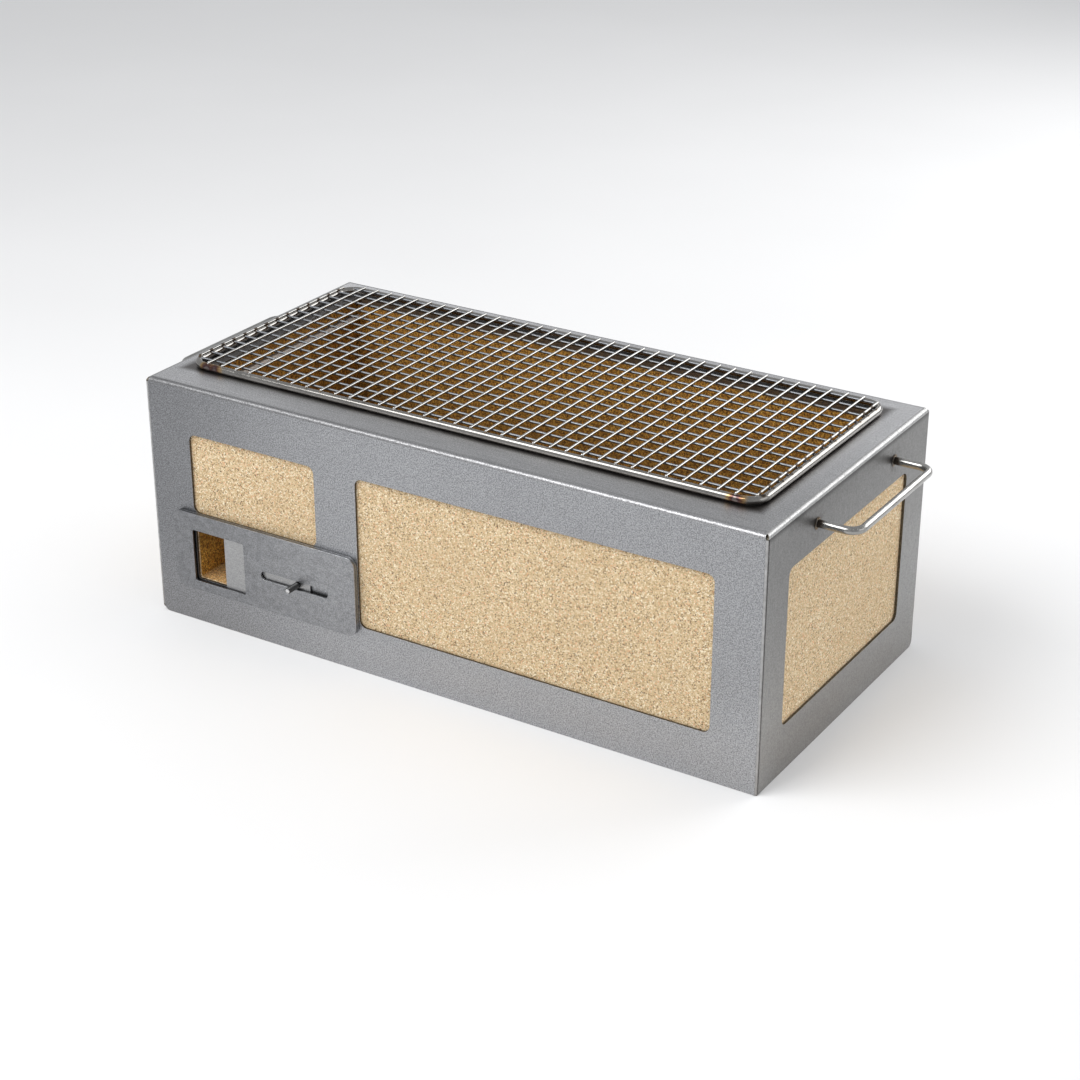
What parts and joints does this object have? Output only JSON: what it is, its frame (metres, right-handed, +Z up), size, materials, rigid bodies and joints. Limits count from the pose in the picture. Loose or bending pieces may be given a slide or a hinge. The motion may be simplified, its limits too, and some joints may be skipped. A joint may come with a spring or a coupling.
{
  "type": "hibachi grill",
  "caption": "Long box-shaped table-top charcoal grill: steel casing with insulating board lining, sliding front air damper, rod handles at both ends and a lift-off wire cooking grid.",
  "frame": {"origin": "centre of the flat underside of the casing", "axes": "+X along the length towards the right end as seen from the damper side, -Y towards the damper side, +Z up"},
  "size_m": [0.6074, 0.2804, 0.21],
  "materials": {
    "casing_steel": "satin",
    "bright_rod": "polished",
    "weld_metal": "heat-tinted",
    "grate_steel": "matt",
    "insulating_board": "matt, granular"
  },
  "bodies": {
    "body": {"casing": "casing_steel", "base_plate": "casing_steel", "floor_board": "insulating_board", "front_board": "insulating_board", "rear_board": "insulating_board", "left_board": "insulating_board", "right_board": "insulating_board", "left_ledge": "casing_steel", "right_ledge": "casing_steel", "damper_guide": "casing_steel", "damper_cover": "casing_steel", "left_handle": "bright_rod", "left_handle_weld_front": "weld_metal", "left_handle_weld_rear": "weld_metal", "right_handle": "bright_rod", "right_handle_weld_front": "weld_metal", "right_handle_weld_rear": "weld_metal"},
    "damper": {"damper_plate": "casing_steel", "damper_stud": "bright_rod"},
    "grate": {"charcoal_grate": "grate_steel"},
    "grid": {"cooking_grid": "bright_rod"}
  },
  "joints": [
    {"name": "damper_slide", "type": "slide", "parent": "body", "child": "damper", "axis": [1, 0, 0], "range_m": [-0.0315, 0.027]},
    {"name": "grid_lift", "type": "slide", "parent": "body", "child": "grid", "axis": [0, 0, 1], "range_m": [0, 0.15]},
    {"name": "grate_lift", "type": "slide", "parent": "body", "child": "grate", "axis": [0, 0, 1], "range_m": [0, 0.12]}
  ]
}
